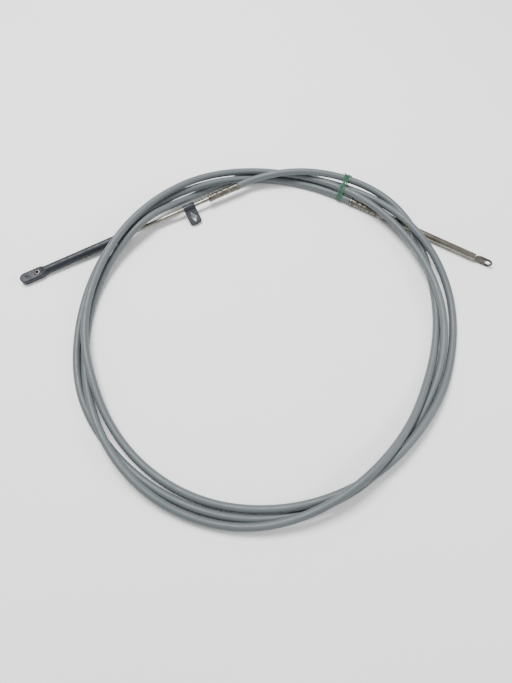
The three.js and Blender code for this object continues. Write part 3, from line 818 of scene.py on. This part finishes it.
def plies(points, radius, twist):
    """Two lines that wind round the given one."""
    lines = [[], []]
    travelled = 0.0
    across = None
    for k, point in enumerate(points):
        ahead = (points[min(k + 1, len(points) - 1)] - points[max(k - 1, 0)]).normalized()
        if across is None:
            across = ahead.orthogonal()
        across = (across - ahead * across.dot(ahead)).normalized()
        up = ahead.cross(across)
        angle = 2 * math.pi * travelled / twist
        for ply in (0, 1):
            turned = angle + math.pi * ply
            lines[ply].append(point + radius * (across * math.cos(turned) + up * math.sin(turned)))
        if k + 1 < len(points):
            travelled += (points[k + 1] - point).length
    return lines


def joined(name, meshes):
    shape = bmesh.new()
    for mesh in meshes:
        shape.from_mesh(mesh)
    whole = bpy.data.meshes.new(name)
    shape.to_mesh(whole)
    shape.free()
    return whole


def smooth_line(points, steps):
    """A Catmull-Rom curve through the points."""
    line = []
    for k in range(len(points) - 1):
        p0, p1 = points[max(k - 1, 0)], points[k]
        p2, p3 = points[k + 1], points[min(k + 2, len(points) - 1)]
        for step in range(steps):
            f = step / steps
            line.append(0.5 * (2 * p1 + (p2 - p0) * f + (2 * p0 - 5 * p1 + 4 * p2 - p3) * f * f +
                               (3 * p1 - p0 - 3 * p2 + p3) * f * f * f))
    line.append(points[-1])
    return line


def tie(material, line):
    angle = math.radians(TIE_ANGLE)
    outward = Vector((math.sin(angle), math.cos(angle), 0))
    along = Vector((math.cos(angle), -math.sin(angle), 0))
    centre = Vector((*COIL_CENTRE, 0))
    strands = crossing_of(line, angle)
    reach = CONDUIT_RADIUS + TIE_CLEARANCE
    rim = [(x + reach * math.cos(math.pi * k / 20), z + reach * math.sin(math.pi * k / 20))
           for x, z in strands for k in range(40)]
    loop = even_loop(convex_hull(rim), LOOP_POINTS)

    def at(place, shift):
        height = max(place[1], 2 * PLY_RADIUS)
        return centre + outward * place[0] + Vector((0, 0, height)) + along * shift

    shifts = [side * TIE_PITCH / 2 + half * STRAND_SPREAD for side in (-1, 1) for half in (-1, 1)]
    lines = []
    for number, shift in enumerate(shifts):
        wave = [shift + WAVE * math.sin(2 * math.pi * k / LOOP_POINTS * 2 + number * 1.7)
                for k in range(LOOP_POINTS)]
        ring = [at(loop[k], wave[k]) for k in range(LOOP_POINTS)]
        lines.append([*ring, ring[0], ring[1]])
    top = at(loop[0], 0) + Vector((0, 0, 0.4))

    def from_top(ahead, out, up):
        return top + along * ahead + outward * out + Vector((0, 0, up))

    across = TIE_PITCH / 2 + 0.9
    knot = [from_top(-across, 0, 0), from_top(-0.9, 0.7, 0), from_top(0.5, -0.6, 0.6),
            from_top(0.9, 0.6, 0.9), from_top(-0.4, 0.7, 0.2), from_top(-0.5, -0.7, 0.9),
            from_top(0.8, -0.6, 0.2), from_top(across, 0, 0)]
    lines.append(smooth_line(knot, 10))
    for side in (-1, 1):
        tail = [from_top(0, 0, 0.6), from_top(side * 1.6, 1.2, 0.9), from_top(side * 3.4, 1.9, 0.2),
                from_top(side * TAIL_LENGTH / 2, 2.2, -0.9)]
        lines.append(smooth_line(tail, 8))
    meshes = [tube_mesh("ply", ply, PLY_RADIUS, 8)
              for line in lines for ply in plies(line, PLY_RADIUS * 0.95, PLY_TWIST)]
    piece = finish_mesh("twine", joined("twine", meshes), material, 80)
    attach(piece, "coil")
    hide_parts("tie")


# Surroundings

def floor():
    mesh = bpy.data.meshes.new("floor")
    half = FLOOR_HALF
    corners = [(-half, -half, 0), (half, -half, 0), (half, half, 0), (-half, half, 0)]
    mesh.from_pydata(corners, [], [(0, 1, 2, 3)])
    mesh.materials.append(floor_material())
    ground = bpy.data.objects.new("floor", mesh)
    bpy.context.collection.objects.link(ground)


def soft_light(name, place, target, size, power):
    data = bpy.data.lights.new(name, "AREA")
    data.shape = "RECTANGLE"
    data.size, data.size_y = size
    data.energy = power
    light = bpy.data.objects.new(name, data)
    light.location = place
    light.rotation_euler = (Vector(target) - Vector(place)).to_track_quat("-Z", "Y").to_euler()
    bpy.context.collection.objects.link(light)


def surroundings():
    world = bpy.data.worlds.new("studio")
    bpy.context.scene.world = world
    world.use_nodes = True
    world.node_tree.nodes["Background"].inputs["Color"].default_value = (1, 1, 1, 1)
    world.node_tree.nodes["Background"].inputs["Strength"].default_value = 0.7
    soft_light("overhead", (-0.35, 0.55, 1.5), (0, 0, 0), (0.9, 0.6), 46)
    soft_light("side", (1.3, -0.2, 0.9), (0, 0, 0), (0.5, 0.5), 9)


camera()
line = conduit_line()
jacket, jacket_path, jacket_length = conduit(jacket_material(), line)
crimped = crimp_material()
steel = steel_material()
pressed = pressed_material()
black = black_material()
engine_sleeve = engine_hub(crimped)
control_sleeve = control_hub(crimped)
engine_tube(steel)
engine_core(steel)
end_guide(black)
guide_bush(pressed)
anchor_clip(black)
swivel_socket(crimped)
guide_tube(steel)
control_rod(pressed)
tie(twine_material(), line)
floor()
surroundings()
